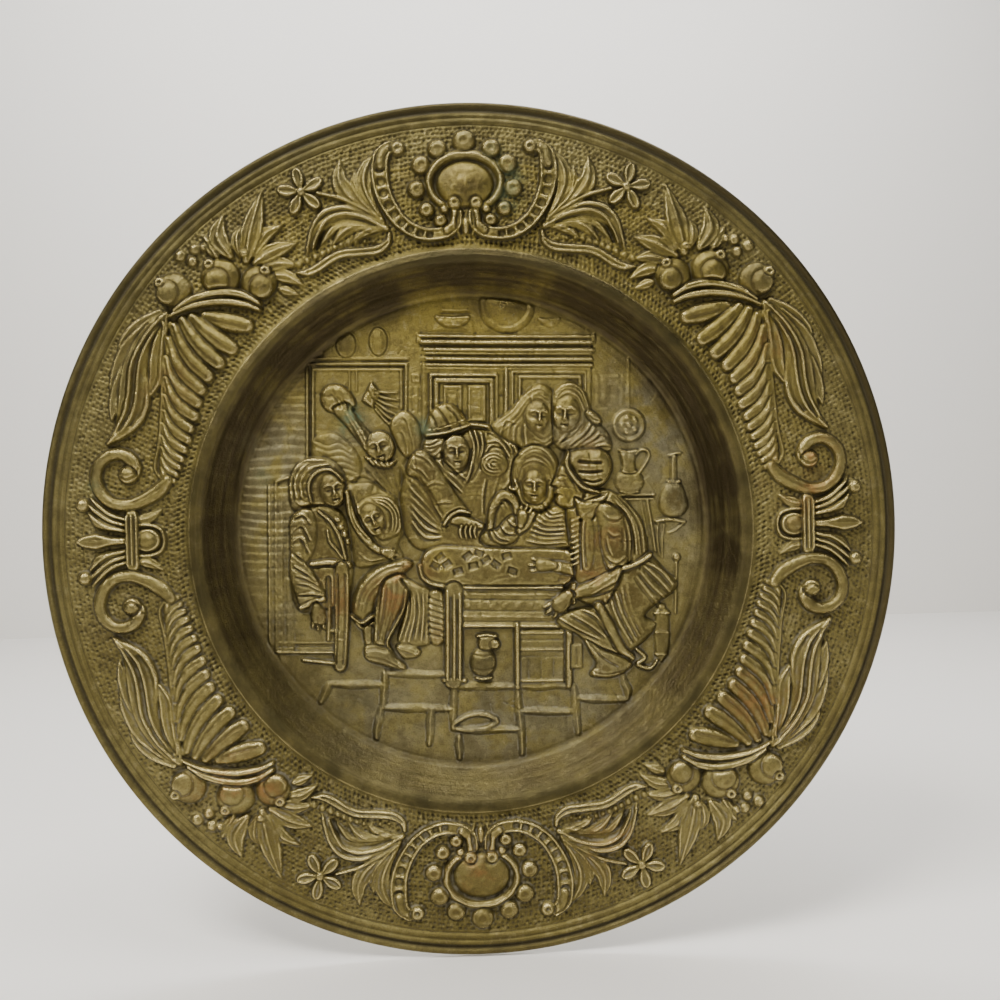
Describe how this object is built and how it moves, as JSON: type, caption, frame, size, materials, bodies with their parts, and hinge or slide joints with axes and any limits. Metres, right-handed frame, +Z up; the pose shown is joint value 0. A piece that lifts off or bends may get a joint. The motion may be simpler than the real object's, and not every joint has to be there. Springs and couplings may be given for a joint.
{
  "type": "embossed wall plate",
  "caption": "Large round brass plate for a wall, with a sunk well, a broad relief border of horns, leaves and scrolls, and a tavern scene in the well.",
  "frame": {"origin": "centre of the flat back of the well, where it rests on the wall", "axes": "+Y into the wall, +Z up, +X to the right as a viewer sees the front, which faces -Y"},
  "size_m": [0.5968, 0.0291, 0.5968],
  "materials": {
    "aged_brass": "embossed sheet brass with a brown and grey patina, brighter on the high points, with a little verdigris"
  },
  "bodies": {
    "root": {"plate": "aged_brass"}
  },
  "joints": []
}
